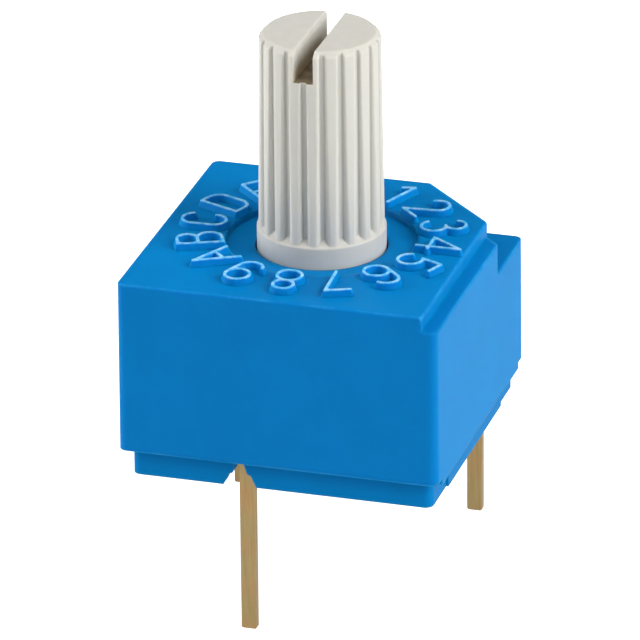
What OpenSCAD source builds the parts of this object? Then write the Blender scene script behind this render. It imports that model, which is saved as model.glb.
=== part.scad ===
// Rotary coded DIP switch: 10 mm square, 16 positions, real hexadecimal code,
// four code pins in one row and a common pin in the other.
// The origin is the centre of the pin grid, on the plane of the circuit board.
// +Z is the shaft's axis, and -Y is the side of the common pin.

/* [Housing] */
// Outer width and depth of the square housing at its top face
body_side = 10; // [9.8:0.1:14]
// Height of the housing's walls, from lower edge to top face
wall_h = 5.5; // [5.2:0.1:8]
// Thickness of the housing's walls
wall_t = 0.7; // [0.6:0.05:0.75]
// Thickness of the roof over the rotor
roof_t = 1.2; // [1.1:0.05:1.4]
// How far each wall leans out from the top face to its lower edge
draft = 0.03; // [0:0.01:0.06]
// Radius of the housing's upright corners
corner_r = 0.26; // [0.26:0.02:0.6]
// Radius of the housing's upper edges
top_edge_r = 0.06; // [0.06:0.02:0.25]
// Drop of the lips under the lower edges of the -X and +X walls
lip_drop = 0.2; // [0.1:0.05:0.3]
// Length of the lips
lip_len = 8.8; // [6.4:0.1:9]
// Width of the low ledge along the +X side
ledge_w = 0.45; // [0.2:0.05:0.7]
// Drop from the top face to the ledge
ledge_drop = 0.5; // [0.3:0.05:0.8]
// Leg of the 45 degree cut at the corner of +X and +Y
corner_cut = 3; // [1.5:0.1:3.1]
// Drop from the top face to the floor of the cut corner
corner_drop = 1.49; // [1:0.05:2]
// Diameter of the round recess in the top face
dial_d = 5.9; // [5:0.1:6.2]
// Depth of the round recess
dial_drop = 0.2; // [0.1:0.02:0.3]

/* [Base] */
// Height of the foot under the housing's walls
foot_h = 0.9; // [0.7:0.05:1.4]
// Set-back of the foot from the housing's walls
foot_inset = 0.31; // [0.24:0.01:0.4]
// How much further the foot reaches on its +X side
foot_shift = 0.08; // [0.02:0.01:0.08]
// How far the pads on the foot's -X and +X sides stand out
pad_out = 0.07; // [0.02:0.01:0.07]
// Length of the pads
pad_len = 6.1; // [4:0.1:8]
// Width of the foot's rim
rim_w = 0.5; // [0.4:0.05:0.55]
// Height of the plug that fills the housing's mouth
plug_h = 1; // [0.8:0.05:1.5]
// Height of the hollow under the base
recess_h = 0.85; // [0.6:0.05:0.9]
// Depth of the potting resin in the recess
resin_t = 0.3; // [0.15:0.05:0.4]
// Width of a pin's notch at the foot's lower edge
notch_w = 1.04; // [0.7:0.02:1.3]
// Height of a pin's notch
notch_h = 0.75; // [0.5:0.05:0.85]
// Radius of the snap beads on the plug
snap_r = 0.1; // [0.05:0.01:0.15]

/* [Rotor] */
// Height of the shaft above the housing's top face
shaft_h = 6.77; // [3:0.05:12]
// Shaft diameter over the ridges, at its foot
shaft_foot_d = 3.86; // [3.4:0.02:3.86]
// Shaft diameter over the ridges, at its top
shaft_top_d = 3.7; // [3.2:0.02:3.86]
// Diameter of the plain collar below the ridges
collar_d = 3.96; // [3.96:0.02:4.2]
// Height of the plain collar above the housing's top face
collar_h = 0.5; // [0.2:0.05:1]
// Number of ridges round the shaft
ridges = 20; // [12:4:24]
// Width of one ridge
ridge_w = 0.4; // [0.3:0.02:0.5]
// Depth of the flutes between the ridges
flute_depth = 0.18; // [0.1:0.02:0.22]
// Bevel at the shaft's top edge
shaft_bevel = 0.16; // [0.05:0.01:0.25]
// Width of the screwdriver slot
slot_w = 0.62; // [0.4:0.02:0.8]
// Depth of the screwdriver slot
slot_depth = 0.99; // [0.5:0.01:1.5]
// Diameter of the rotor's flange
flange_d = 7.9; // [7.7:0.05:8]
// Thickness of the rotor's flange
flange_t = 1; // [0.8:0.05:1.2]
// Diameter of the hub between flange and roof
hub_d = 5.8; // [5.4:0.1:5.9]
// Diameter of the pivot under the flange
pivot_d = 1.1; // [0.8:0.05:1.2]
// Number of switch positions
positions = 16; // [16]
// Depth of the detent notches
detent_depth = 0.2; // [0.1:0.02:0.3]
// Radius of the detent notches
detent_r = 0.3; // [0.2:0.02:0.4]

/* [Contacts] */
// Grid pitch of the pins
pin_pitch = 2.54; // [2:0.01:2.6]
// Distance between the two rows of pins
row_gap = 7.62; // [7:0.01:7.7]
// Width of a pin
pin_w = 0.48; // [0.4:0.02:0.5]
// Thickness of a pin
pin_t = 0.25; // [0.2:0.01:0.3]
// Length of the four code pins below the foot
code_pin_len = 4.01; // [2:0.01:6]
// Length of the common pin below the foot
common_pin_len = 5.17; // [2:0.01:7]
// Bevel at a pin's tip
tip_bevel = 0.04; // [0.02:0.01:0.15]
// Height of the space that the contact springs work in
spring_room = 1.05; // [0.9:0.05:1.5]
// Width of a contact spring
spring_w = 0.4; // [0.3:0.02:0.44]
// Thickness of a contact spring
spring_t = 0.1; // [0.06:0.01:0.12]
// Thickness of the code plate
plate_t = 0.15; // [0.1:0.01:0.2]
// Radius of the middle of the common track
common_track_r = 1.35; // [1.3:0.01:1.4]
// Distance between the middles of two tracks
track_pitch = 0.55; // [0.52:0.01:0.56]
// Width of a track's windows
track_w = 0.4; // [0.3:0.01:0.42]

/* [Seal and detent] */
// Width and height of the shaft seal's square section
seal_side = 0.6; // [0.5:0.02:0.64]
// Thickness of the thrust washer
washer_t = 0.15; // [0.1:0.01:0.2]
// Thickness of the detent spring
detent_spring_t = 0.12; // [0.08:0.01:0.15]

/* [Clearances] */
// Radial gap of the shaft and of the pivot in their bores
running_gap = 0.06; // [0.03:0.01:0.09]
// Gap between parts that are pushed together and stay still
seat_gap = 0.02; // [0.01:0.01:0.04]
// Gap between parts that lightly touch in use
touch_gap = 0.015; // [0.005:0.005:0.03]

/* [Hidden] */
$fn = 64;
// How far a cutter runs past the faces that it cuts
past = 0.5;

// Levels above the circuit board
plug_top = foot_h + plug_h;
head_z = plug_top - pin_t;
plate_z = plug_top + spring_room;
flange_z = plate_z + plate_t;
crown_z = flange_z + flange_t;
top_z = foot_h + wall_h;
roof_z = top_z - roof_t;
washer_z = roof_z - touch_gap - washer_t;
hub_top = washer_z - touch_gap;
dial_z = top_z - dial_drop;
collar_z = top_z + collar_h;
shaft_z = top_z + shaft_h;
snap_z = foot_h + plug_h / 2;

// Plan sizes
half = body_side / 2;
mouth_half = half - wall_t;
plug_half = mouth_half - seat_gap;
foot_half = half - foot_inset;
pad_x = foot_half + pad_out;
wall_foot_x = half + draft;
lip_x = pad_x + foot_shift + seat_gap;
recess_half = foot_half - rim_w;
snap_len = body_side / 3;
row_y = row_gap / 2;
collar_r = collar_d / 2;
hub_r = hub_d / 2;
flange_r = flange_d / 2;
ridge_r = shaft_foot_d / 2;
core_r = ridge_r - flute_depth;
collar_bevel = 0.04;
ridge_trim = 0.01;
chamber_gap = 0.15;
chamber_r = flange_r + chamber_gap;
bore_r = collar_r + running_gap;
seal_groove_r = collar_r + seal_side + 2 * touch_gap;
seal_groove_h = seal_side + 2 * touch_gap;
pivot_r = pivot_d / 2;
pivot_depth = 0.5;
boss_wall = 0.25;
boss_r = pivot_r + running_gap + boss_wall;
boss_drop = 0.1;

// Detent spring and the two keys that hold it
detent_gap_in = 0.3;
detent_gap_out = 0.08;
detent_ring_in = hub_r + detent_gap_in;
detent_ring_out = chamber_r - detent_gap_out;
arm_w = 0.4;
arm_root = 0.45;
arm_tail = 0.25;
key_w = 0.5;
key_depth = 0.45;
key_h = 0.3;

// The hexadecimal code: one step, and the track of each contact from the inside out
step = 360 / positions;
plate_web = 0.15;
function track_r(i) = common_track_r + i * track_pitch;

// Contacts as [pin column, row side, spring column, track, bit value, pin length]
CONTACT_C = [-0.5 * pin_pitch, -1, -0.25 * pin_pitch, 0, 0, common_pin_len];
CONTACT_8 = [-0.5 * pin_pitch, 1, -0.35 * pin_pitch, 1, 8, code_pin_len];
CONTACT_4 = [0.5 * pin_pitch, 1, 0.67 * pin_pitch, 2, 4, code_pin_len];
CONTACT_2 = [-1.5 * pin_pitch, 1, -1.02 * pin_pitch, 3, 2, code_pin_len];
CONTACT_1 = [1.5 * pin_pitch, 1, 1.26 * pin_pitch, 4, 1, code_pin_len];
CONTACTS = [CONTACT_C, CONTACT_1, CONTACT_2, CONTACT_4, CONTACT_8];
CODE_CONTACTS = [CONTACT_1, CONTACT_2, CONTACT_4, CONTACT_8];
head_len = 0.85;
head_margin = 0.05;
function contact_tip_y(c) = sqrt(pow(track_r(c[3]), 2) - pow(c[2], 2));

// A square outline with round corners, given by its half side
module round_plan(half_side, r) {
    straight = half_side - r;
    square([2 * half_side, 2 * straight], center = true);
    square([2 * straight, 2 * half_side], center = true);
    for (x = [-1, 1], y = [-1, 1])
        translate([x * straight, y * straight])
            circle(r);
}

// A strip of even thickness that follows a bent line, seen from its edge
module bent_strip(line, t) {
    upper = [for (p = line) [p[0], p[1] + t / 2]];
    lower = [for (i = [len(line) - 1:-1:0]) [line[i][0], line[i][1] - t / 2]];
    polygon(concat(upper, lower));
}

// Turns an outline in the YZ plane into a plate of width w across X, centred on x
module stand_across(x, w) {
    translate([x - w / 2, 0, 0])
        rotate([90, 0, 90])
            linear_extrude(w)
                children();
}

// Upright outline of the housing's block, w wide at its top, with rounded upper corners
module block_outline(w) {
    shoulder_z = top_z - top_edge_r;
    polygon([
        [-w / 2 - draft, foot_h], [w / 2 + draft, foot_h], [w / 2, shoulder_z], [-w / 2, shoulder_z]
    ]);
    translate([top_edge_r - w / 2, foot_h])
        square([w - 2 * top_edge_r, wall_h]);
    for (side = [-1, 1])
        translate([side * (w / 2 - top_edge_r), top_z - top_edge_r])
            circle(top_edge_r);
}

// The housing's block, with a quarter-round along its upper edge
module housing_block() {
    straight = body_side - 2 * corner_r;
    for (turn = [0, 90])
        rotate([0, 0, turn])
            stand_across(0, straight)
                block_outline(body_side);
    for (x = [-1, 1], y = [-1, 1])
        translate([x * straight / 2, y * straight / 2, 0])
            rotate_extrude()
                intersection() {
                    block_outline(2 * corner_r);
                    square([corner_r + draft, top_z]);
                }
}

// The lips under the -X and +X walls, which cover the joint with the base and carry on the walls' lean
module lips() {
    low_z = foot_h - lip_drop;
    low_x = wall_foot_x + draft * lip_drop / (wall_h - top_edge_r);
    for (turn = [0, 180])
        rotate([0, 0, turn])
            translate([0, lip_len / 2, 0])
                rotate([90, 0, 0])
                    linear_extrude(lip_len)
                        polygon([
                            [lip_x, low_z], [low_x, low_z], [wall_foot_x, foot_h],
                            [half - wall_t / 2, foot_h + lip_drop], [lip_x, foot_h]
                        ]);
}

// What the ledge takes away: a step along +X whose upper edge stays rounded
module ledge_cut() {
    riser_x = half - ledge_w;
    ledge_z = top_z - ledge_drop;
    translate([0, half + past, 0])
        rotate([90, 0, 0])
            linear_extrude(body_side + 2 * past)
                difference() {
                    union() {
                        translate([riser_x, ledge_z])
                            square([ledge_w + past, ledge_drop + past]);
                        translate([riser_x - top_edge_r, top_z - top_edge_r])
                            square([top_edge_r + past, top_edge_r + past]);
                    }
                    translate([riser_x - top_edge_r, top_z - top_edge_r])
                        circle(top_edge_r);
                    translate([riser_x - 2 * top_edge_r, top_z - 2 * top_edge_r])
                        square([2 * top_edge_r, top_edge_r]);
                }
}

// What the 45 degree cut takes away at the +X +Y corner
module corner_prism() {
    translate([0, 0, top_z - corner_drop])
        linear_extrude(corner_drop + past)
            polygon([
                [half - corner_cut - past, half + past],
                [half + past, half - corner_cut - past],
                [half + past, half + past]
            ]);
}

// Blue moulded cap: walls, roof with the dial recess, chamber for the rotor
module housing() {
    color("#0078c8") {
        difference() {
            housing_block();
            ledge_cut();
            corner_prism();
            translate([0, 0, foot_h - past])
                linear_extrude(past + plate_z - foot_h)
                    round_plan(mouth_half, corner_r);
            translate([0, 0, foot_h])
                cylinder(r = chamber_r, h = roof_z - foot_h);
            translate([0, 0, roof_z - past])
                cylinder(r = seal_groove_r, h = past + seal_groove_h);
            translate([0, 0, roof_z - past])
                cylinder(r = bore_r, h = roof_t + 2 * past);
            translate([0, 0, dial_z])
                cylinder(d = dial_d, h = dial_drop + past);
            snap_beads(snap_r + seat_gap);
        }
        lips();
        for (side = [-1, 1])
            translate([-key_w / 2, side * (chamber_r - key_depth / 2) - key_depth / 2, roof_z - key_h])
                cube([key_w, key_depth, key_h + past / 2]);
    }
}

// Half-round beads on the sides of the plug, along Y
module snap_beads(r) {
    for (side = [-1, 1])
        translate([side * plug_half, snap_len / 2, snap_z])
            rotate([90, 0, 0])
                cylinder(r = r, h = snap_len);
}

// A pin's notch in the foot: steep above, flared below its step
module notch_outline() {
    foot_x = notch_w / 2;
    step_x = notch_w / 3;
    neck_x = notch_w / 4.5;
    top_x = notch_w / 8;
    step_z = notch_h / 2;
    shoulder = 0.04;
    right = [[foot_x, -past], [foot_x, 0], [step_x, step_z], [neck_x, step_z + shoulder], [top_x, notch_h]];
    left = [for (i = [len(right) - 1:-1:0]) [-right[i][0], right[i][1]]];
    polygon(concat(right, left));
}

// Puts what is drawn for the back row on the row of the given side
module on_row(side) {
    if (side > 0)
        children();
    else
        mirror([0, 1, 0])
            children();
}

// Blue moulded terminal carrier: foot, plug, pivot boss and pockets for the terminals
module base() {
    color("#0070b8")
        difference() {
            union() {
                for (shift = [0, foot_shift])
                    translate([shift, 0, 0])
                        linear_extrude(foot_h) {
                            round_plan(foot_half, corner_r);
                            square([2 * pad_x, pad_len], center = true);
                        }
                linear_extrude(plug_top)
                    round_plan(plug_half, corner_r);
                cylinder(r = boss_r, h = plate_z - boss_drop);
                snap_beads(snap_r);
            }
            translate([0, 0, -past])
                linear_extrude(recess_h + past)
                    round_plan(recess_half, corner_r);
            translate([0, 0, plug_top - pivot_depth])
                cylinder(r = pivot_r + running_gap, h = spring_room + pivot_depth);
            for (c = CONTACTS) {
                terminal_body(c, seat_gap);
                head_pocket(c);
                on_row(c[1])
                    translate([c[0], foot_half + past, 0])
                        rotate([90, 0, 0])
                            linear_extrude(rim_w + 2 * past)
                                notch_outline();
            }
        }
}

// Potting that seals the pins into the base from below
module seal_resin() {
    color("#1c2733")
        difference() {
            translate([0, 0, recess_h - resin_t])
                linear_extrude(resin_t)
                    round_plan(recess_half - seat_gap, corner_r);
            for (c = CONTACTS)
                terminal_body(c, touch_gap);
        }
}

// Plan of a terminal's head, from the back of its pin to the front of the weld
function head_low(c) = min(c[0] - pin_w / 2, c[2] - spring_w / 2 - head_margin);
function head_high(c) = max(c[0] + pin_w / 2, c[2] + spring_w / 2 + head_margin);
function head_front() = row_y + pin_t / 2 - head_len;

// A stamped terminal, grown all round by a gap: pin with a bevelled tip, bent over into a head
module terminal_body(c, gap) {
    w = pin_w / 2 + gap;
    flat = w - tip_bevel;
    tip_z = -c[5];
    on_row(c[1]) {
        translate([c[0], row_y + pin_t / 2 + gap, 0])
            rotate([90, 0, 0])
                linear_extrude(pin_t + 2 * gap)
                    polygon([
                        [-w, plug_top], [-w, tip_z + tip_bevel], [-flat, tip_z],
                        [flat, tip_z], [w, tip_z + tip_bevel], [w, plug_top]
                    ]);
        translate([head_low(c) - gap, head_front() - gap, head_z - gap])
            cube([head_high(c) - head_low(c) + 2 * gap, head_len + 2 * gap, pin_t + gap]);
    }
}

// The open top of the pocket that a terminal's head lies in
module head_pocket(c) {
    on_row(c[1])
        translate([head_low(c) - seat_gap, head_front() - seat_gap, head_z])
            cube([head_high(c) - head_low(c) + 2 * seat_gap, head_len + 2 * seat_gap, pin_t + past]);
}

module terminal(c) {
    color("#b08d57")
        terminal_body(c, 0);
}

// A contact spring: welded flat to its terminal's head, then rising to a rounded tip under its track
module contact_spring(c) {
    flat_z = plug_top + spring_t / 2;
    tip_z = plate_z - touch_gap - spring_t / 2;
    weld_len = 0.65;
    nose = 0.1;
    tail = 0.2;
    tip_y = contact_tip_y(c);
    color("#d9b56a")
        on_row(c[1])
            stand_across(c[2], spring_w)
                bent_strip([
                    [row_y + pin_t / 2, flat_z], [row_y + pin_t / 2 - weld_len, flat_z],
                    [tip_y + nose, tip_z], [tip_y - nose, tip_z], [tip_y - nose - tail, tip_z - nose]
                ], spring_t);
}

// The windows of one code track; each spans the positions in which that bit is off
module code_windows(c, gap, h) {
    bit = c[4];
    aim = atan2(contact_tip_y(c), c[2]);
    r_in = track_r(c[3]) - track_w / 2 + gap;
    trim = gap / r_in * 180 / PI;
    for (k = [0:2 * bit:positions - 1])
        rotate([0, 0, aim + step * (k - 0.5) + trim])
            rotate_extrude(angle = step * bit - 2 * trim)
                translate([r_in, 0])
                    square([track_w - 2 * gap, h]);
}

// Gold-plated stamping moulded into the rotor's face: a plain common track and four coded ones
module code_plate() {
    color("#d8b24a")
        difference() {
            translate([0, 0, plate_z])
                cylinder(r = track_r(4) + track_w / 2 + plate_web, h = plate_t);
            translate([0, 0, plate_z - past])
                cylinder(r = track_r(0) - track_w / 2 - plate_web, h = plate_t + 2 * past);
            for (c = CODE_CONTACTS)
                translate([0, 0, plate_z - past])
                    code_windows(c, 0, plate_t + 2 * past);
        }
}

// Section of the ridged shaft, straight up its length
module ridge_section() {
    circle(core_r);
    for (i = [0:ridges - 1])
        rotate(360 * (i + 0.5) / ridges)
            translate([ridge_r + ridge_trim - ridge_w / 2, 0])
                circle(d = ridge_w);
}

// The shaft's taper and bevelled top, which trim the ridges' crests
module shaft_envelope() {
    rotate_extrude()
        polygon([
            [0, collar_z], [ridge_r, collar_z], [shaft_top_d / 2, shaft_z - shaft_bevel],
            [shaft_top_d / 2 - shaft_bevel, shaft_z], [0, shaft_z]
        ]);
}

// Notches round the top of the flange, one for each position
module detent_notches() {
    hub_gap = 0.12;
    for (k = [0:positions - 1])
        rotate([0, 0, step * k])
            translate([hub_r + hub_gap, 0, crown_z + detent_r - detent_depth])
                rotate([0, 90, 0])
                    cylinder(r = detent_r, h = flange_r);
}

// Grey moulded rotor: ridged shaft, collar, hub, flange with the detent crown, and pivot
module rotor() {
    color("#c9c7c0") {
        difference() {
            union() {
                intersection() {
                    translate([0, 0, collar_z])
                        linear_extrude(shaft_z - collar_z)
                            ridge_section();
                    shaft_envelope();
                }
                translate([0, 0, collar_z])
                    cylinder(r1 = ridge_r - ridge_trim, r2 = core_r, h = flute_depth);
                translate([0, 0, collar_z - collar_bevel])
                    cylinder(r1 = collar_r, r2 = collar_r - collar_bevel, h = collar_bevel);
                translate([0, 0, hub_top])
                    cylinder(r = collar_r, h = collar_z - collar_bevel - hub_top);
                translate([0, 0, crown_z])
                    cylinder(r = hub_r, h = hub_top - crown_z);
                translate([0, 0, flange_z])
                    cylinder(r = flange_r, h = flange_t);
            }
            translate([-slot_w / 2, -collar_d, shaft_z - slot_depth])
                cube([slot_w, 2 * collar_d, slot_depth + past]);
            detent_notches();
        }
        translate([0, 0, plug_top - pivot_depth + running_gap])
            cylinder(r = pivot_r, h = flange_z - plug_top + pivot_depth);
        for (c = CODE_CONTACTS)
            translate([0, 0, plate_z + touch_gap])
                code_windows(c, seat_gap, plate_t);
    }
}

// Square-cut rubber ring in the groove under the roof
module shaft_seal() {
    color("#2b2b2b")
        translate([0, 0, roof_z + touch_gap])
            rotate_extrude()
                translate([collar_r + touch_gap, 0])
                    square(seal_side);
}

// Slippery plastic ring between the hub and the roof
module thrust_washer() {
    color("#e8e4d8")
        difference() {
            translate([0, 0, washer_z])
                cylinder(r = hub_r, h = washer_t);
            translate([0, 0, washer_z - past])
                cylinder(r = bore_r, h = washer_t + 2 * past);
        }
}

// Stamped spring steel ring under the roof, with two arms lanced out of it into the crown
module detent_spring() {
    t = detent_spring_t;
    ring_mid = roof_z - t / 2;
    nose_mid = crown_z - detent_depth + 2 * touch_gap + t / 2;
    nose = 0.06;
    ramp = nose + ring_mid - nose_mid;
    lance_gap = 0.04;
    color("#b9bcc0") {
        difference() {
            translate([0, 0, roof_z - t])
                cylinder(r = detent_ring_out, h = t);
            translate([0, 0, roof_z - t - past])
                cylinder(r = detent_ring_in, h = t + 2 * past);
            for (side = [0, 1])
                rotate([0, 0, 180 * side])
                    translate([0, -ramp, roof_z - t - past])
                        cube([
                            detent_ring_in + arm_w + lance_gap,
                            ramp + nose + arm_tail + lance_gap,
                            t + 2 * past
                        ]);
            for (side = [-1, 1])
                translate([-key_w / 2 - seat_gap, side * chamber_r - key_depth - seat_gap, roof_z - t - past])
                    cube([key_w + 2 * seat_gap, 2 * (key_depth + seat_gap), t + 2 * past]);
        }
        for (side = [0, 1])
            rotate([0, 0, 180 * side])
                stand_across(detent_ring_in + arm_w / 2, arm_w)
                    bent_strip([
                        [-ramp - arm_root, ring_mid], [-ramp, ring_mid],
                        [-nose, nose_mid], [nose, nose_mid], [nose + arm_tail, nose_mid + arm_tail]
                    ], t);
    }
}

module terminal_c() { terminal(CONTACT_C); }
module terminal_1() { terminal(CONTACT_1); }
module terminal_2() { terminal(CONTACT_2); }
module terminal_4() { terminal(CONTACT_4); }
module terminal_8() { terminal(CONTACT_8); }
module spring_c() { contact_spring(CONTACT_C); }
module spring_1() { contact_spring(CONTACT_1); }
module spring_2() { contact_spring(CONTACT_2); }
module spring_4() { contact_spring(CONTACT_4); }
module spring_8() { contact_spring(CONTACT_8); }

housing();
base();
seal_resin();
rotor();
code_plate();
shaft_seal();
thrust_washer();
detent_spring();
terminal_c();
terminal_1();
terminal_2();
terminal_4();
terminal_8();
spring_c();
spring_1();
spring_2();
spring_4();
spring_8();
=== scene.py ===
import math

import bmesh
import bpy
from mathutils import Matrix, Vector
from mathutils.geometry import delaunay_2d_cdt


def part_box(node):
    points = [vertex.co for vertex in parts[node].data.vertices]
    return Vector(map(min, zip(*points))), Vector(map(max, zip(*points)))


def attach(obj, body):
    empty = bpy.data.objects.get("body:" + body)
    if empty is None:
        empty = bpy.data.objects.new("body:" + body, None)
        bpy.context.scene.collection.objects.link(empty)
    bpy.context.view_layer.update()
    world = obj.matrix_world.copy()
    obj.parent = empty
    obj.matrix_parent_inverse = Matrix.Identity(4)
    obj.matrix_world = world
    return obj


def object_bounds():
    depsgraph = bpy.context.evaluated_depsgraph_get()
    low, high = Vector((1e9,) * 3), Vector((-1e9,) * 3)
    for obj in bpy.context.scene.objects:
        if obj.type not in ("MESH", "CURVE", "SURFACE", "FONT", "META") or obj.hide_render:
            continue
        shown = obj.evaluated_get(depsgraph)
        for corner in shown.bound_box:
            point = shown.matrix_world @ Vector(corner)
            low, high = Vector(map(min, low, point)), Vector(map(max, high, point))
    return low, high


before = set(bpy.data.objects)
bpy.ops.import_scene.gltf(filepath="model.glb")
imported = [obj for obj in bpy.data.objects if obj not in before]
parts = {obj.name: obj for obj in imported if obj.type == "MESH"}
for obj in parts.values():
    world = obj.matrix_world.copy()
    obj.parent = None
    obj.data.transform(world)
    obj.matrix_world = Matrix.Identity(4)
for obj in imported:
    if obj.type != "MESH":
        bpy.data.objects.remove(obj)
cad_low, cad_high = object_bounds()

# ---------------------------------------------------------------------------
# Housing: the blue cap. One injection moulding in pigmented thermoplastic,
# pressed over the base until its snap grooves catch. Its faces keep the fine
# spark-eroded skin of the mould, and its upper edges are painted a little paler:
# partly rubbing wear, partly painted highlight along the rounded edges.
# ---------------------------------------------------------------------------
MM = 0.001
TOP_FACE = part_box("housing")[1].z
CAP_BLUE = (0.0, 0.200, 0.530)
CAP_RUB_AND_HIGHLIGHT = (0.10, 0.58, 0.98)
CAP_GRAIN = 9000.0
CAP_SHINE = 0.05
BLUE_SOAK = {"weight": 0.6, "reach": (0.1, 0.6, 1.0), "scale": 0.3 * MM}

# Slow clouds in every moulded skin, the share of grain laid over them, and the
# grain's height and its hold on the roughness
CLOUD_SCALE = 420.0
GRAIN_SHARE = 0.35
GRAIN_HEIGHT = 0.02 * MM
GRAIN_ROUGHNESS = 0.08

# Edges are found by how free the solid is close behind its surface, from 1 on a
# flat face down to 0 in a thin lip: where the pale edge colour starts, and where
# it is full. That pale colour is partly rubbing wear, partly painted highlight.
RUB_AND_HIGHLIGHT_START_FREE = 0.85
RUB_AND_HIGHLIGHT_FULL_FREE = 0.45

# Pale edges on the cap, partly handling wear and partly painted highlight: they
# start some way below the top face and are full just under it, they grow between
# two distances from the shaft's axis, and the rest of the cap and the gaps
# between their patches keep a small share of them
WEAR_AND_HIGHLIGHT_START_DROP = 0.55 * MM
WEAR_AND_HIGHLIGHT_FULL_DROP = 0.05 * MM
WEAR_AND_HIGHLIGHT_START_R = 3.4 * MM
WEAR_AND_HIGHLIGHT_FULL_R = 4.4 * MM
WEAR_AND_HIGHLIGHT_REST = 0.2
WEAR_AND_HIGHLIGHT_PATCH_SCALE = 620.0
WEAR_AND_HIGHLIGHT_PATCH_REST = 0.12


def group_socket(group, name, kind, inward):
    """Adds one named input or output to a node group."""
    way = "INPUT" if inward else "OUTPUT"
    group.interface.new_socket(name=name, in_out=way, socket_type="NodeSocket" + kind)


def moulded_skin():
    """The skin a plastic part takes from its mould: grain, slow shade changes, soft edges, and a mask of
    convex edges for rubbing wear and painted highlight.
    """
    group = bpy.data.node_groups.new("moulded_skin", "ShaderNodeTree")
    for name in ("Grain", "Depth", "Roughness", "Edge", "Wear"):
        group_socket(group, name, "Float", True)
    for name, kind in (("Shade", "Float"), ("Rub_And_Highlight", "Float"), ("Roughness", "Float"), ("Normal", "Vector")):
        group_socket(group, name, kind, False)
    make, join = group.nodes.new, group.links.new
    given, result = make("NodeGroupInput"), make("NodeGroupOutput")
    place = make("ShaderNodeTexCoord")
    grain = make("ShaderNodeTexNoise")
    grain.inputs["Detail"].default_value = 3.0
    join(place.outputs["Object"], grain.inputs["Vector"])
    join(given.outputs["Grain"], grain.inputs["Scale"])
    slow = make("ShaderNodeTexNoise")
    slow.inputs["Scale"].default_value = CLOUD_SCALE
    slow.inputs["Detail"].default_value = 2.0
    join(place.outputs["Object"], slow.inputs["Vector"])
    both = make("ShaderNodeMath")
    both.operation = "MULTIPLY_ADD"
    both.inputs[1].default_value = GRAIN_SHARE
    join(grain.outputs["Fac"], both.inputs[0])
    join(slow.outputs["Fac"], both.inputs[2])
    shade = make("ShaderNodeMapRange")
    shade.inputs["From Min"].default_value = GRAIN_SHARE
    shade.inputs["From Max"].default_value = 1.0
    join(both.outputs["Value"], shade.inputs["Value"])
    join(shade.outputs["Result"], result.inputs["Shade"])
    inside = make("ShaderNodeAmbientOcclusion")
    inside.inside = True
    inside.only_local = True
    inside.samples = 8
    join(given.outputs["Wear"], inside.inputs["Distance"])
    # Convex edges: the pale colour laid on them is partly rubbing wear, partly painted highlight
    rub_and_highlight = make("ShaderNodeMapRange")
    rub_and_highlight.inputs["From Min"].default_value = RUB_AND_HIGHLIGHT_START_FREE
    rub_and_highlight.inputs["From Max"].default_value = RUB_AND_HIGHLIGHT_FULL_FREE
    join(inside.outputs["AO"], rub_and_highlight.inputs["Value"])
    join(rub_and_highlight.outputs["Result"], result.inputs["Rub_And_Highlight"])
    soft = make("ShaderNodeBevel")
    soft.samples = 6
    join(given.outputs["Edge"], soft.inputs["Radius"])
    bump = make("ShaderNodeBump")
    bump.inputs["Distance"].default_value = GRAIN_HEIGHT
    join(given.outputs["Depth"], bump.inputs["Strength"])
    join(grain.outputs["Fac"], bump.inputs["Height"])
    join(soft.outputs["Normal"], bump.inputs["Normal"])
    join(bump.outputs["Normal"], result.inputs["Normal"])
    change = make("ShaderNodeMath")
    change.operation = "MULTIPLY_ADD"
    change.inputs[1].default_value = GRAIN_ROUGHNESS
    join(grain.outputs["Fac"], change.inputs[0])
    join(given.outputs["Roughness"], change.inputs[2])
    join(change.outputs["Value"], result.inputs["Roughness"])
    return group


SKIN = moulded_skin()


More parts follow.
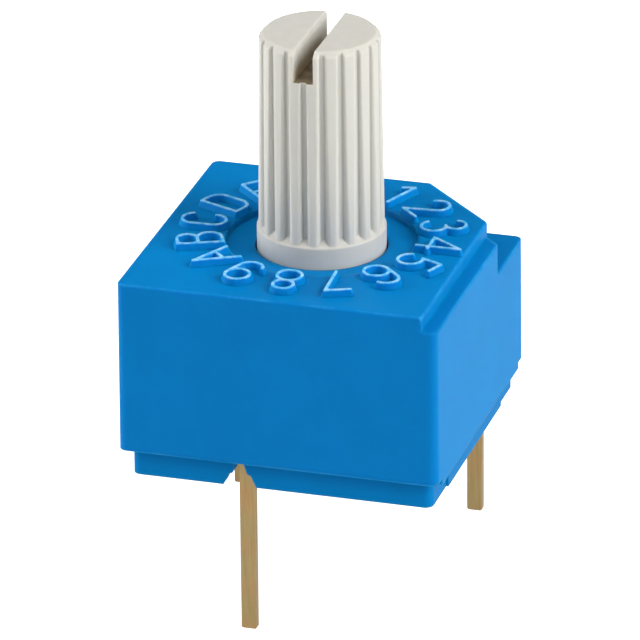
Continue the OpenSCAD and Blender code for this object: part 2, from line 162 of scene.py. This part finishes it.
class Finish:
    """One material under construction: its nodes, its links and its Principled shader."""

    def __init__(self, name):
        self.material = bpy.data.materials.new(name)
        self.material.use_nodes = True
        self.nodes = self.material.node_tree.nodes
        self.link = self.material.node_tree.links.new
        self.shader = self.nodes["Principled BSDF"]

    def add(self, kind, **values):
        """Adds a shader node; each value goes to the input of that name."""
        node = self.nodes.new("ShaderNode" + kind)
        for name, value in values.items():
            node.inputs[name.replace("_", " ")].default_value = value
        return node

    def add_group(self, group, **values):
        """Adds a node group; each value goes to the input of that name."""
        node = self.nodes.new("ShaderNodeGroup")
        node.node_tree = group
        for name, value in values.items():
            node.inputs[name].default_value = value
        return node

    def mix(self, mask, low, high):
        """Colour low where mask is 0 and high where it is 1; each is a colour or a socket."""
        node = self.nodes.new("ShaderNodeMix")
        node.data_type = "RGBA"
        self.link(mask, node.inputs[0])
        for socket, colour in ((node.inputs[6], low), (node.inputs[7], high)):
            if isinstance(colour, tuple):
                socket.default_value = (*colour, 1.0)
            else:
                self.link(colour, socket)
        return node.outputs[2]

    def range(self, value, low, high, out_low=0.0, out_high=1.0):
        """Maps a value from low..high to out_low..out_high, and holds it inside them."""
        node = self.nodes.new("ShaderNodeMapRange")
        for name, number in zip(("From Min", "From Max", "To Min", "To Max"), (low, high, out_low, out_high)):
            node.inputs[name].default_value = number
        self.link(value, node.inputs["Value"])
        return node.outputs["Result"]

    def product(self, first, second):
        """One mask times another."""
        node = self.nodes.new("ShaderNodeMath")
        node.operation = "MULTIPLY"
        self.link(first, node.inputs[0])
        self.link(second, node.inputs[1])
        return node.outputs["Value"]

    def soak(self, weight, reach, scale):
        """Lets light soak into the plastic and out again nearby."""
        self.shader.inputs["Subsurface Weight"].default_value = weight
        self.shader.inputs["Subsurface Radius"].default_value = reach
        self.shader.inputs["Subsurface Scale"].default_value = scale

    def cover(self, piece):
        """Gives this finish to every face of a piece."""
        piece.data.materials.clear()
        piece.data.materials.append(self.material)

    def moulded(self, grain, depth, roughness, edge, rub_and_highlight_reach):
        """Puts the moulded skin on this finish and returns its shade mask and its mask of rubbed and
        highlighted edges.
        """
        skin = self.add_group(SKIN, Grain=grain, Depth=depth, Roughness=roughness, Edge=edge, Wear=rub_and_highlight_reach)
        self.link(skin.outputs["Roughness"], self.shader.inputs["Roughness"])
        self.link(skin.outputs["Normal"], self.shader.inputs["Normal"])
        return skin.outputs["Shade"], skin.outputs["Rub_And_Highlight"]


def scaled(colour, factor):
    """A lighter or darker shade of a colour."""
    return tuple(min(1.0, c * factor) for c in colour)


cap = Finish("cap_plastic")
shade, rub_and_highlight = cap.moulded(grain=CAP_GRAIN, depth=0.16, roughness=0.46, edge=0.2 * MM, rub_and_highlight_reach=0.1 * MM)
cap_shades = cap.mix(shade, scaled(CAP_BLUE, 0.95), scaled(CAP_BLUE, 1.05))
place = cap.add("TexCoord")
patches = cap.add("TexNoise", Scale=WEAR_AND_HIGHLIGHT_PATCH_SCALE, Detail=6.0, Roughness=0.75)
cap.link(place.outputs["Object"], patches.inputs["Vector"])
height = cap.add("SeparateXYZ")
cap.link(place.outputs["Object"], height.inputs["Vector"])
wear_and_highlight_start, wear_and_highlight_full = TOP_FACE - WEAR_AND_HIGHLIGHT_START_DROP, TOP_FACE - WEAR_AND_HIGHLIGHT_FULL_DROP
top_wear_and_highlight = cap.range(height.outputs["Z"], wear_and_highlight_start, wear_and_highlight_full, WEAR_AND_HIGHLIGHT_REST, 1.0)
flat = cap.add("Mapping")
flat.inputs["Scale"].default_value = (1.0, 1.0, 0.0)
cap.link(place.outputs["Object"], flat.inputs["Vector"])
reach = cap.add("VectorMath")
reach.operation = "LENGTH"
cap.link(flat.outputs["Vector"], reach.inputs[0])
outer = cap.range(reach.outputs["Value"], WEAR_AND_HIGHLIGHT_START_R, WEAR_AND_HIGHLIGHT_FULL_R, WEAR_AND_HIGHLIGHT_REST, 1.0)
patch_mask = cap.range(patches.outputs["Fac"], 0.43, 0.62, WEAR_AND_HIGHLIGHT_PATCH_REST, 1.0)
patchy = cap.product(cap.product(top_wear_and_highlight, outer), patch_mask)
# Pale cap edges: partly handling wear, partly painted highlight along the rounded edges
wear_and_highlight_here = cap.product(cap.range(rub_and_highlight, 0.05, 0.65), patchy)
cap.link(cap.mix(wear_and_highlight_here, cap_shades, CAP_RUB_AND_HIGHLIGHT), cap.shader.inputs["Base Color"])
cap.shader.inputs["Specular IOR Level"].default_value = CAP_SHINE
cap.soak(**BLUE_SOAK)
cap.cover(parts["housing"])

# ---------------------------------------------------------------------------
# Dial characters: 0 to F round the shaft, standing proud of the cap's top face.
# They are part of the same moulding, drafted so that they leave the mould, and
# their narrow tops are painted pale: partly bruising, partly painted highlight.
# Their walls carry painted light, a lighter copy of the cap's blue. Sizes in this
# section are in millimetres.
# ---------------------------------------------------------------------------
RING_R = 3.74
CHAR_H = 1.38
CHAR_W = 0.76
CHAR_RISE = 0.22
STROKE_TOP = 0.075
STROKE_FOOT = 0.24
STROKE_ROOT = 0.03
FOOT_SINK = 0.005
POSITIONS = 16
BRUISE_AND_HIGHLIGHT_BLUE = (0.09, 0.43, 0.84)
BRUISE_AND_HIGHLIGHT_PALE = (0.30, 0.61, 0.98)
BRUISE_AND_HIGHLIGHT_START = 0.8
BRUISE_AND_HIGHLIGHT_FULL = 0.97
CHARACTER_SHINE = 0.04


def character_strokes():
    """Centre lines of each character, upright and centred, as bars and bows."""
    w, h = CHAR_W / 2, CHAR_H / 2
    bend = h - w
    lean = 0.14
    small = 0.82 * w
    head = h - small
    waist = h - 2 * small
    left, right = ("bar", -w, -bend, -w, bend), ("bar", w, -bend, w, bend)
    stem = ("bar", -w, -h, -w, h)
    top, foot = ("bar", -w, h, w, h), ("bar", -w, -h, w, -h)
    middle = ("bar", -w, 0, 0.74 * w, 0)
    half_top, half_foot = ("bar", -w, h, 0, h), ("bar", -w, -h, 0, -h)
    c40, s40, c45 = math.cos(math.radians(40)), math.sin(math.radians(40)), math.sqrt(0.5)
    return [
        [("bow", 0, bend, w, 0, 180), ("bow", 0, -bend, w, 180, 360), left, right],
        [("bar", lean, -h, lean, h), ("bar", lean, h, lean - 0.8 * w, h - 0.6 * w)],
        [("bow", 0, bend, w, -40, 165), ("bar", w * c40, bend - w * s40, -w, -h), foot],
        [("bow", 0, head, small, -90, 160), ("bow", 0, (waist - h) / 2, (h + waist) / 2, -160, 90)],
        [("bar", 0.58 * w, -h, 0.58 * w, h), ("bar", 0.58 * w, h, -1.22 * w, -0.43 * h),
         ("bar", -1.22 * w, -0.43 * h, 1.05 * w, -0.43 * h)],
        [("bar", -0.63 * w, h, 0.95 * w, h), ("bar", -0.63 * w, h, -w * c45, w * c45 - bend),
         ("bow", 0, -bend, w, -155, 135)],
        [("bow", 0, -bend, w, 0, 360), left, ("bow", 0, bend, w, 20, 180)],
        [top, ("bar", w, h, -0.3 * w, -h)],
        [("bow", 0, head, small, 0, 360), ("bow", 0, -bend, w, 0, 360)],
        [("bow", 0, bend, w, 0, 360), right, ("bow", 0, -bend, w, 200, 360)],
        [("bar", -1.15 * w, -h, 0, h), ("bar", 0, h, 1.15 * w, -h),
         ("bar", -0.7 * w, -0.29 * h, 0.7 * w, -0.29 * h)],
        [stem, half_top, ("bow", 0, head, small, -90, 90), ("bar", -w, waist, 0, waist),
         ("bow", 0, -bend, w, -90, 90), half_foot],
        [("bow", 0, bend, w, 20, 180), left, ("bow", 0, -bend, w, 180, 365)],
        [stem, half_top, ("bow", 0, bend, w, 0, 90), right, ("bow", 0, -bend, w, 270, 360), half_foot],
        [stem, top, middle, foot],
        [stem, top, middle],
    ]


def stroke_line(stroke):
    """Points and directions along a stroke's centre line."""
    if stroke[0] == "bar":
        a, b = Vector(stroke[1:3]), Vector(stroke[3:5])
        along = (b - a).normalized()
        return [(a, along), (b, along)]
    x, y, r, first, last = stroke[1:]
    count = max(6, int((last - first) / 7.5))
    line = []
    for i in range(count + 1):
        a = math.radians(first + (last - first) * i / count)
        point = Vector((x + r * math.cos(a), y + r * math.sin(a)))
        line.append((point, Vector((-math.sin(a), math.cos(a)))))
    return line


def stroke_outline(stroke, half_width):
    """Outline of a stroke with round ends, or two rings where the stroke closes on itself."""
    line = stroke_line(stroke)
    left = [p + Vector((-d.y, d.x)) * half_width for p, d in line]
    right = [p - Vector((-d.y, d.x)) * half_width for p, d in line]
    if stroke[0] == "bow" and stroke[5] - stroke[4] >= 360:
        return [right[:-1], left[:-1][::-1]]

    def cap_end(centre, along):
        start = math.atan2(along.x, -along.y)
        turns = [start - math.pi * i / 10 for i in range(1, 10)]
        return [centre + Vector((math.cos(turn), math.sin(turn))) * half_width for turn in turns]

    (first, first_way), (last, last_way) = line[0], line[-1]
    return [left + cap_end(last, last_way) + right[::-1] + cap_end(first, -first_way)]


def centre_distance(point, strokes):
    """Distance from a point to the nearest of the strokes' centre lines."""
    distances = []
    for stroke in strokes:
        if stroke[0] == "bar":
            a, b = Vector(stroke[1:3]), Vector(stroke[3:5])
            share = min(1.0, max(0.0, (point - a).dot(b - a) / (b - a).length_squared))
            distances.append((point - a - share * (b - a)).length)
            continue
        x, y, r, first, last = stroke[1:]
        way = point - Vector((x, y))
        if (math.degrees(math.atan2(way.y, way.x)) - first) % 360 <= last - first:
            distances.append(abs(way.length - r))
        for end in (math.radians(first), math.radians(last)):
            distances.append((way - Vector((r * math.cos(end), r * math.sin(end)))).length)
    return min(distances)


def draw_character(mesh, strokes):
    """Draws one character as a closed solid: its strokes run together, flat on top, with leaning walls."""
    points, edges = [], []
    for width in (STROKE_FOOT, STROKE_TOP):
        for stroke in strokes:
            for ring in stroke_outline(stroke, width / 2):
                first, count = len(points), len(ring)
                points += ring
                edges += [(first + i, first + (i + 1) % count) for i in range(count)]
    plan, _, triangles, *_ = delaunay_2d_cdt(points, edges, [], 0, 1e-5, False)
    lean = (STROKE_FOOT - STROKE_TOP) / 2
    upper, lower = [], []
    for p in plan:
        level = (STROKE_FOOT / 2 - centre_distance(p, strokes)) / lean
        level = 0.0 if level < 0.04 else 1.0 if level > 0.96 else level
        upper.append(mesh.verts.new((p.x, p.y, level * (CHAR_RISE + FOOT_SINK) - FOOT_SINK)))
        lower.append(mesh.verts.new((p.x, p.y, -STROKE_ROOT)))
    open_edges = set()
    for triangle in triangles:
        middle = sum((plan[i] for i in triangle), Vector((0, 0))) / 3
        if centre_distance(middle, strokes) > STROKE_FOOT / 2:
            continue
        mesh.faces.new([upper[i] for i in triangle])
        mesh.faces.new([lower[i] for i in reversed(triangle)])
        for edge in zip(triangle, triangle[1:] + triangle[:1]):
            if edge[::-1] in open_edges:
                open_edges.remove(edge[::-1])
            else:
                open_edges.add(edge)
    for i, j in sorted(open_edges):
        mesh.faces.new((lower[i], lower[j], upper[j], upper[i]))
    bmesh.ops.delete(mesh, geom=[v for v in mesh.verts if not v.link_faces], context="VERTS")


def solid_object(name, draw):
    """A new object whose mesh is drawn by a function into a bmesh."""
    mesh = bmesh.new()
    draw(mesh)
    bmesh.ops.recalc_face_normals(mesh, faces=mesh.faces)
    data = bpy.data.meshes.new(name)
    mesh.to_mesh(data)
    mesh.free()
    thing = bpy.data.objects.new(name, data)
    bpy.context.scene.collection.objects.link(thing)
    return thing


characters = Finish("character_plastic")
shade, _ = characters.moulded(grain=CAP_GRAIN, depth=0.2, roughness=0.5, edge=0.02 * MM, rub_and_highlight_reach=0.04 * MM)
place = characters.add("TexCoord")
height = characters.add("SeparateXYZ")
characters.link(place.outputs["Object"], height.inputs["Vector"])
rise = CHAR_RISE * MM
# Pale stroke tops: partly bruising, partly painted highlight on the narrow tops
bruised_and_highlighted = characters.range(height.outputs["Z"], TOP_FACE + BRUISE_AND_HIGHLIGHT_START * rise, TOP_FACE + BRUISE_AND_HIGHLIGHT_FULL * rise)
scuffs = characters.add("TexNoise", Scale=5200.0, Detail=2.0)
characters.link(place.outputs["Object"], scuffs.inputs["Vector"])
scuffed = characters.range(scuffs.outputs["Fac"], 0.38, 0.62)
bruise_and_highlight_shades = characters.mix(scuffed, BRUISE_AND_HIGHLIGHT_BLUE, BRUISE_AND_HIGHLIGHT_PALE)
# Painted light: the character walls take a lighter copy of the cap's blue
painted_light_wall_shades = characters.mix(shade, scaled(CAP_BLUE, 1.04), scaled(CAP_BLUE, 1.15))
characters.link(characters.mix(bruised_and_highlighted, painted_light_wall_shades, bruise_and_highlight_shades), characters.shader.inputs["Base Color"])
characters.shader.inputs["Specular IOR Level"].default_value = CHARACTER_SHINE
characters.soak(**BLUE_SOAK)

for index, strokes in enumerate(character_strokes()):
    name = "character_" + "0123456789ABCDEF"[index]
    character = solid_object(name, lambda mesh, strokes=strokes: draw_character(mesh, strokes))
    on_top = Matrix.Translation((0, 0, TOP_FACE))
    spin = Matrix.Rotation(-math.radians(360 / POSITIONS * index), 4, "Z")
    in_metres = Matrix.Scale(MM, 4)
    character.data.transform(on_top @ spin @ in_metres @ Matrix.Translation((0, RING_R, 0)))
    character.data.set_sharp_from_angle(angle=math.radians(35))
    characters.cover(character)
    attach(character, "case")

# ---------------------------------------------------------------------------
# Base: the blue terminal carrier. A second moulding in the same plastic, with
# the foot that stands on the board; only its foot shows below the cap.
# ---------------------------------------------------------------------------
BASE_BLUE = (0.0, 0.186, 0.488)
BASE_RUB_AND_HIGHLIGHT = 0.15
BASE_SHINE = 0.04

carrier = Finish("base_plastic")
shade, rub_and_highlight = carrier.moulded(grain=CAP_GRAIN, depth=0.16, roughness=0.48, edge=0.1 * MM, rub_and_highlight_reach=0.1 * MM)
base_shades = carrier.mix(shade, scaled(BASE_BLUE, 0.94), scaled(BASE_BLUE, 1.06))
# Pale base edges: partly rubbing wear, partly painted highlight along the edges
base_colour = carrier.mix(carrier.range(rub_and_highlight, 0.0, 1.0, 0.0, BASE_RUB_AND_HIGHLIGHT), base_shades, CAP_RUB_AND_HIGHLIGHT)
carrier.link(base_colour, carrier.shader.inputs["Base Color"])
carrier.shader.inputs["Specular IOR Level"].default_value = BASE_SHINE
carrier.cover(parts["base"])

# ---------------------------------------------------------------------------
# Sealing resin: two-part epoxy poured into the hollow under the base, where it
# levels itself round the pins and cures dark and glossy.
# ---------------------------------------------------------------------------
RESIN_DARK = (0.012, 0.018, 0.028)
RESIN_SAG = 0.1 * MM

resin = Finish("potting_resin")
cloud = resin.add("TexNoise", Scale=900.0, Detail=3.0)
place = resin.add("TexCoord")
resin.link(place.outputs["Object"], cloud.inputs["Vector"])
resin_shades = resin.mix(cloud.outputs["Fac"], RESIN_DARK, scaled(RESIN_DARK, 2.2))
resin.link(resin_shades, resin.shader.inputs["Base Color"])
resin.link(resin.range(cloud.outputs["Fac"], 0.3, 0.7, 0.12, 0.24), resin.shader.inputs["Roughness"])
sag = resin.add("Bump", Strength=0.25, Distance=RESIN_SAG)
resin.link(cloud.outputs["Fac"], sag.inputs["Height"])
resin.link(sag.outputs["Normal"], resin.shader.inputs["Normal"])
resin.cover(parts["seal_resin"])

# ---------------------------------------------------------------------------
# Rotor: ridged shaft, collar, hub, crown and pivot in one moulding of warm grey
# glass-filled plastic. The fibres leave a faint streak up the shaft, and the
# screwdriver slot is painted with brown shade, dense on its floor and thin above.
# ---------------------------------------------------------------------------
ROTOR_GREY = (0.632, 0.618, 0.562)
ROTOR_RUB_AND_HIGHLIGHT = (0.680, 0.668, 0.635)
ROTOR_RUB_AND_HIGHLIGHT_SHARE = 0.25
ROTOR_SHINE = 0.3
ROTOR_GRAIN = 7000.0
FIBRE_SCALE = 2600.0
FIBRE_STRETCH = 0.12
SHAFT_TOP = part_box("rotor")[1].z
SLOT_DEPTH = 0.99 * MM
SLOT_FLOOR = SHAFT_TOP - SLOT_DEPTH
SLOT_UPPER_SHADE = (0.560, 0.460, 0.330)
SLOT_DEEP_SHADE = (0.165, 0.122, 0.070)
SLOT_DEEP_SHADE_LIGHT = (0.270, 0.215, 0.140)

# Where the painted shade lies: out to the slot's walls, thickening from this far
# below the top down to the slot's floor, and fading out within the last few
# microns under it
SLOT_SHADE_EDGE_X = 0.322 * MM
SLOT_SHADE_FULL_X = 0.285 * MM
SLOT_SHADE_START_DROP = 0.4 * MM
SLOT_SHADE_GONE_DROP = 0.004 * MM
SLOT_SHADE_FADE_DROP = 0.002 * MM

shaft = Finish("shaft_plastic")
_, rub_and_highlight = shaft.moulded(grain=ROTOR_GRAIN, depth=0.14, roughness=0.5, edge=0.09 * MM, rub_and_highlight_reach=0.18 * MM)
place = shaft.add("TexCoord")
stretch = shaft.add("Mapping")
stretch.inputs["Scale"].default_value = (1.0, 1.0, FIBRE_STRETCH)
shaft.link(place.outputs["Object"], stretch.inputs["Vector"])
streaks = shaft.add("TexNoise", Scale=FIBRE_SCALE, Detail=4.0)
shaft.link(stretch.outputs["Vector"], streaks.inputs["Vector"])
streak_mask = shaft.range(streaks.outputs["Fac"], 0.35, 0.65)
shaft_shades = shaft.mix(streak_mask, scaled(ROTOR_GREY, 0.985), scaled(ROTOR_GREY, 1.02))
# Pale ridge edges: partly rubbing wear, partly painted highlight
shaft_colour = shaft.mix(shaft.range(rub_and_highlight, 0.0, 1.0, 0.0, ROTOR_RUB_AND_HIGHLIGHT_SHARE), shaft_shades, ROTOR_RUB_AND_HIGHLIGHT)
spot = shaft.add("SeparateXYZ")
shaft.link(place.outputs["Object"], spot.inputs["Vector"])
# Painted shade in the slot: darker and browner towards its floor
left_half = shaft.range(spot.outputs["X"], -SLOT_SHADE_EDGE_X, -SLOT_SHADE_FULL_X)
right_half = shaft.range(spot.outputs["X"], SLOT_SHADE_EDGE_X, SLOT_SHADE_FULL_X)
depth = shaft.range(spot.outputs["Z"], SHAFT_TOP - SLOT_SHADE_START_DROP, SLOT_FLOOR)
above_floor = shaft.range(spot.outputs["Z"], SLOT_FLOOR - SLOT_SHADE_GONE_DROP, SLOT_FLOOR - SLOT_SHADE_FADE_DROP)
slot_shade_mask = shaft.product(shaft.product(left_half, right_half), shaft.product(depth, above_floor))
slot_shade = shaft.mix(shaft.range(slot_shade_mask, 0.3, 0.9), SLOT_UPPER_SHADE, shaft.mix(streak_mask, SLOT_DEEP_SHADE, SLOT_DEEP_SHADE_LIGHT))
shaft.link(shaft.mix(shaft.range(slot_shade_mask, 0.0, 0.3), shaft_colour, slot_shade), shaft.shader.inputs["Base Color"])
shaft.soak(weight=0.6, reach=(1.0, 0.9, 0.75), scale=0.22 * MM)
shaft.shader.inputs["Specular IOR Level"].default_value = ROTOR_SHINE
shaft.cover(parts["rotor"])

# ---------------------------------------------------------------------------
# Metal parts: the terminals and contact springs are stamped from copper alloy
# strip and plated; the code plate is gold-plated; the detent spring is steel.
# ---------------------------------------------------------------------------
PIN_BRASS = (0.385, 0.272, 0.124)
CONTACT_BRONZE = (0.72, 0.47, 0.22)
GOLD = (0.85, 0.58, 0.20)
STEEL = (0.52, 0.53, 0.55)
STAIN_RED = (1.08, 0.97, 0.94)
STAIN_GREEN = (0.95, 1.05, 1.05)
STREAK_SCALE = 16000.0
STAIN_SCALE = 700.0
STREAK_HEIGHT = 0.01 * MM
ROLLED_ALONG_X = (0.05, 1.0, 1.0)
ROLLED_ALONG_Y = (1.0, 0.05, 1.0)
ROLLED_ALONG_Z = (1.0, 1.0, 0.05)


def rolled_strip():
    """The surface of rolled strip: long fine streaks along the rolling direction, and slight staining."""
    group = bpy.data.node_groups.new("rolled_strip", "ShaderNodeTree")
    group_socket(group, "Stretch", "Vector", True)
    for name, kind in (("Streak", "Float"), ("Stain", "Float"), ("Normal", "Vector")):
        group_socket(group, name, kind, False)
    make, join = group.nodes.new, group.links.new
    given, result = make("NodeGroupInput"), make("NodeGroupOutput")
    place = make("ShaderNodeTexCoord")
    along = make("ShaderNodeMapping")
    join(place.outputs["Object"], along.inputs["Vector"])
    join(given.outputs["Stretch"], along.inputs["Scale"])
    rolled = make("ShaderNodeTexNoise")
    stain = make("ShaderNodeTexNoise")
    for noise, scale, source in ((rolled, STREAK_SCALE, along.outputs["Vector"]),
                                 (stain, STAIN_SCALE, place.outputs["Object"])):
        noise.inputs["Scale"].default_value = scale
        noise.inputs["Detail"].default_value = 3.0
        join(source, noise.inputs["Vector"])
    lines = make("ShaderNodeBump")
    lines.inputs["Strength"].default_value = 0.25
    lines.inputs["Distance"].default_value = STREAK_HEIGHT
    join(rolled.outputs["Fac"], lines.inputs["Height"])
    join(rolled.outputs["Fac"], result.inputs["Streak"])
    join(stain.outputs["Fac"], result.inputs["Stain"])
    join(lines.outputs["Normal"], result.inputs["Normal"])
    return group


STRIP = rolled_strip()


def strip_metal(name, colour, roughness, stretch):
    """A bare or plated strip metal, stretched along the way that its strip was rolled."""
    metal = Finish(name)
    strip = metal.add_group(STRIP, Stretch=stretch)
    redder = tuple(c * share for c, share in zip(colour, STAIN_RED))
    greener = tuple(c * share for c, share in zip(colour, STAIN_GREEN))
    stained = metal.mix(metal.range(strip.outputs["Stain"], 0.35, 0.65), greener, redder)
    streak = metal.range(strip.outputs["Streak"], 0.35, 0.65, 0.0, 0.3)
    metal.link(metal.mix(streak, stained, scaled(colour, 0.62)), metal.shader.inputs["Base Color"])
    polish = metal.range(strip.outputs["Streak"], 0.3, 0.7, roughness - 0.06, roughness + 0.08)
    metal.link(polish, metal.shader.inputs["Roughness"])
    metal.link(strip.outputs["Normal"], metal.shader.inputs["Normal"])
    metal.shader.inputs["Metallic"].default_value = 1.0
    return metal


pin_metal = strip_metal("pin_brass", PIN_BRASS, 0.42, ROLLED_ALONG_Z)
contact_metal = strip_metal("contact_bronze", CONTACT_BRONZE, 0.32, ROLLED_ALONG_Y)
gold_plate = strip_metal("gold_plating", GOLD, 0.25, ROLLED_ALONG_X)
spring_steel = strip_metal("spring_steel", STEEL, 0.3, ROLLED_ALONG_X)
for mark in "c1248":
    pin_metal.cover(parts["terminal_" + mark])
    contact_metal.cover(parts["spring_" + mark])
gold_plate.cover(parts["code_plate"])
spring_steel.cover(parts["detent_spring"])

# ---------------------------------------------------------------------------
# Seal and washer: the shaft seal is a greased rubber ring in its groove, and
# the thrust washer is punched from pale bearing film.
# ---------------------------------------------------------------------------
RUBBER_BLACK, RUBBER_GREY = (0.012, 0.012, 0.013), (0.022, 0.022, 0.023)
FILM_CREAM, FILM_PALE = (0.78, 0.74, 0.66), (0.84, 0.81, 0.74)

rubber = Finish("seal_rubber")
shade, _ = rubber.moulded(grain=12000.0, depth=0.2, roughness=0.38, edge=0.03 * MM, rub_and_highlight_reach=0.06 * MM)
rubber.link(rubber.mix(shade, RUBBER_BLACK, RUBBER_GREY), rubber.shader.inputs["Base Color"])
rubber.cover(parts["shaft_seal"])

film = Finish("bearing_film")
shade, _ = film.moulded(grain=5000.0, depth=0.05, roughness=0.35, edge=0.02 * MM, rub_and_highlight_reach=0.04 * MM)
film.link(film.mix(shade, FILM_CREAM, FILM_PALE), film.shader.inputs["Base Color"])
film.cover(parts["thrust_washer"])

# ---------------------------------------------------------------------------
# Studio: a floor of white paper under the pins, a white surround, and four
# soft boxes. Paper and surround are lit evenly, so that they meet without a
# line, and send less light to the object than their white would.
# ---------------------------------------------------------------------------
FLOOR_Z = cad_low.z
FLOOR_HALF = 3.0
PAPER_WHITE = 0.85
PAPER_SEEN = 0.75
PAPER_MIRRORED = 0.35
SURROUND_SEEN = 1.0
SURROUND_LIGHT = 0.12
BOX_DISTANCE = 0.45
BOX_SIZE = 0.30


def draw_floor(mesh):
    half = FLOOR_HALF
    corners = [(-half, -half), (half, -half), (half, half), (-half, half)]
    mesh.faces.new([mesh.verts.new((x, y, FLOOR_Z)) for x, y in corners])


floor = solid_object("floor", draw_floor)
paper = Finish("studio_paper")
paper.shader.inputs["Base Color"].default_value = (PAPER_WHITE, PAPER_WHITE, PAPER_WHITE, 1.0)
paper.shader.inputs["Roughness"].default_value = 0.9
rays = paper.add("LightPath")
mirrored = paper.range(rays.outputs["Is Glossy Ray"], 0.0, 1.0, 0.0, PAPER_MIRRORED)
seen = paper.add("Math")
seen.operation = "MULTIPLY_ADD"
seen.inputs[1].default_value = PAPER_SEEN
paper.link(rays.outputs["Is Camera Ray"], seen.inputs[0])
paper.link(mirrored, seen.inputs[2])
paper.link(seen.outputs["Value"], paper.shader.inputs["Emission Strength"])
paper.shader.inputs["Emission Color"].default_value = (1.0, 1.0, 1.0, 1.0)
paper.cover(floor)

world = bpy.data.worlds.new("studio")
bpy.context.scene.world = world
world.use_nodes = True
sky = world.node_tree.nodes
tie = world.node_tree.links.new
rays = sky.new("ShaderNodeLightPath")
level = sky.new("ShaderNodeMapRange")
level.inputs["To Min"].default_value = SURROUND_LIGHT
level.inputs["To Max"].default_value = SURROUND_SEEN
tie(rays.outputs["Is Camera Ray"], level.inputs["Value"])
tie(level.outputs["Result"], sky["Background"].inputs["Strength"])
sky["Background"].inputs["Color"].default_value = (1.0, 1.0, 1.0, 1.0)


def soft_box(name, azimuth, elevation, power):
    """Sets up a square soft box that looks at the middle of the object."""
    lamp = bpy.data.lights.new(name, "AREA")
    lamp.shape = "SQUARE"
    lamp.size = BOX_SIZE
    lamp.energy = power
    box = bpy.data.objects.new(name, lamp)
    bpy.context.scene.collection.objects.link(box)
    a, e = math.radians(azimuth), math.radians(elevation)
    way = Vector((math.sin(a) * math.cos(e), -math.cos(a) * math.cos(e), math.sin(e)))
    box.location = (cad_low + cad_high) / 2 + way * BOX_DISTANCE
    box.visible_camera = False
    box.rotation_mode = "QUATERNION"
    box.rotation_quaternion = way.to_track_quat("Z", "Y")


soft_box("right_box", azimuth=78, elevation=31, power=2.1)
soft_box("left_box", azimuth=-80, elevation=10, power=1.85)
soft_box("front_box", azimuth=-35, elevation=50, power=0.55)
soft_box("back_box", azimuth=180, elevation=70, power=0.33)

# ---------------------------------------------------------------------------
# Camera: a long lens from the front right, a little above the dial. Its eye is
# set back from the middle of the top face, and then a little left and down.
# ---------------------------------------------------------------------------
CAMERA_AZIMUTH = math.radians(16.633)
CAMERA_ELEVATION = math.radians(24.008)
CAMERA_ROLL = math.radians(-0.539)
CAMERA_DISTANCE = 225.598 * MM
EYE_LEFT, EYE_DOWN = 0.056 * MM, 2.515 * MM
LENS_LENGTH = 416.33
SENSOR_WIDTH = 36.0

back = Vector((
    math.sin(CAMERA_AZIMUTH) * math.cos(CAMERA_ELEVATION),
    -math.cos(CAMERA_AZIMUTH) * math.cos(CAMERA_ELEVATION),
    math.sin(CAMERA_ELEVATION),
))
level_right = Vector((math.cos(CAMERA_AZIMUTH), math.sin(CAMERA_AZIMUTH), 0))
level_up = back.cross(level_right)
right = level_right * math.cos(CAMERA_ROLL) + level_up * math.sin(CAMERA_ROLL)
up = level_up * math.cos(CAMERA_ROLL) - level_right * math.sin(CAMERA_ROLL)
eye = Vector((0, 0, TOP_FACE)) + back * CAMERA_DISTANCE - right * EYE_LEFT - up * EYE_DOWN
lens = bpy.data.cameras.new("camera")
lens.lens = LENS_LENGTH
lens.sensor_width = SENSOR_WIDTH
lens.clip_start = 0.01
lens.clip_end = 20.0
camera = bpy.data.objects.new("camera", lens)
bpy.context.scene.collection.objects.link(camera)
camera.matrix_world = Matrix((
    (right.x, up.x, back.x, eye.x),
    (right.y, up.y, back.y, eye.y),
    (right.z, up.z, back.z, eye.z),
    (0, 0, 0, 1),
))
bpy.context.scene.camera = camera
bpy.context.scene.view_settings.view_transform = "Standard"
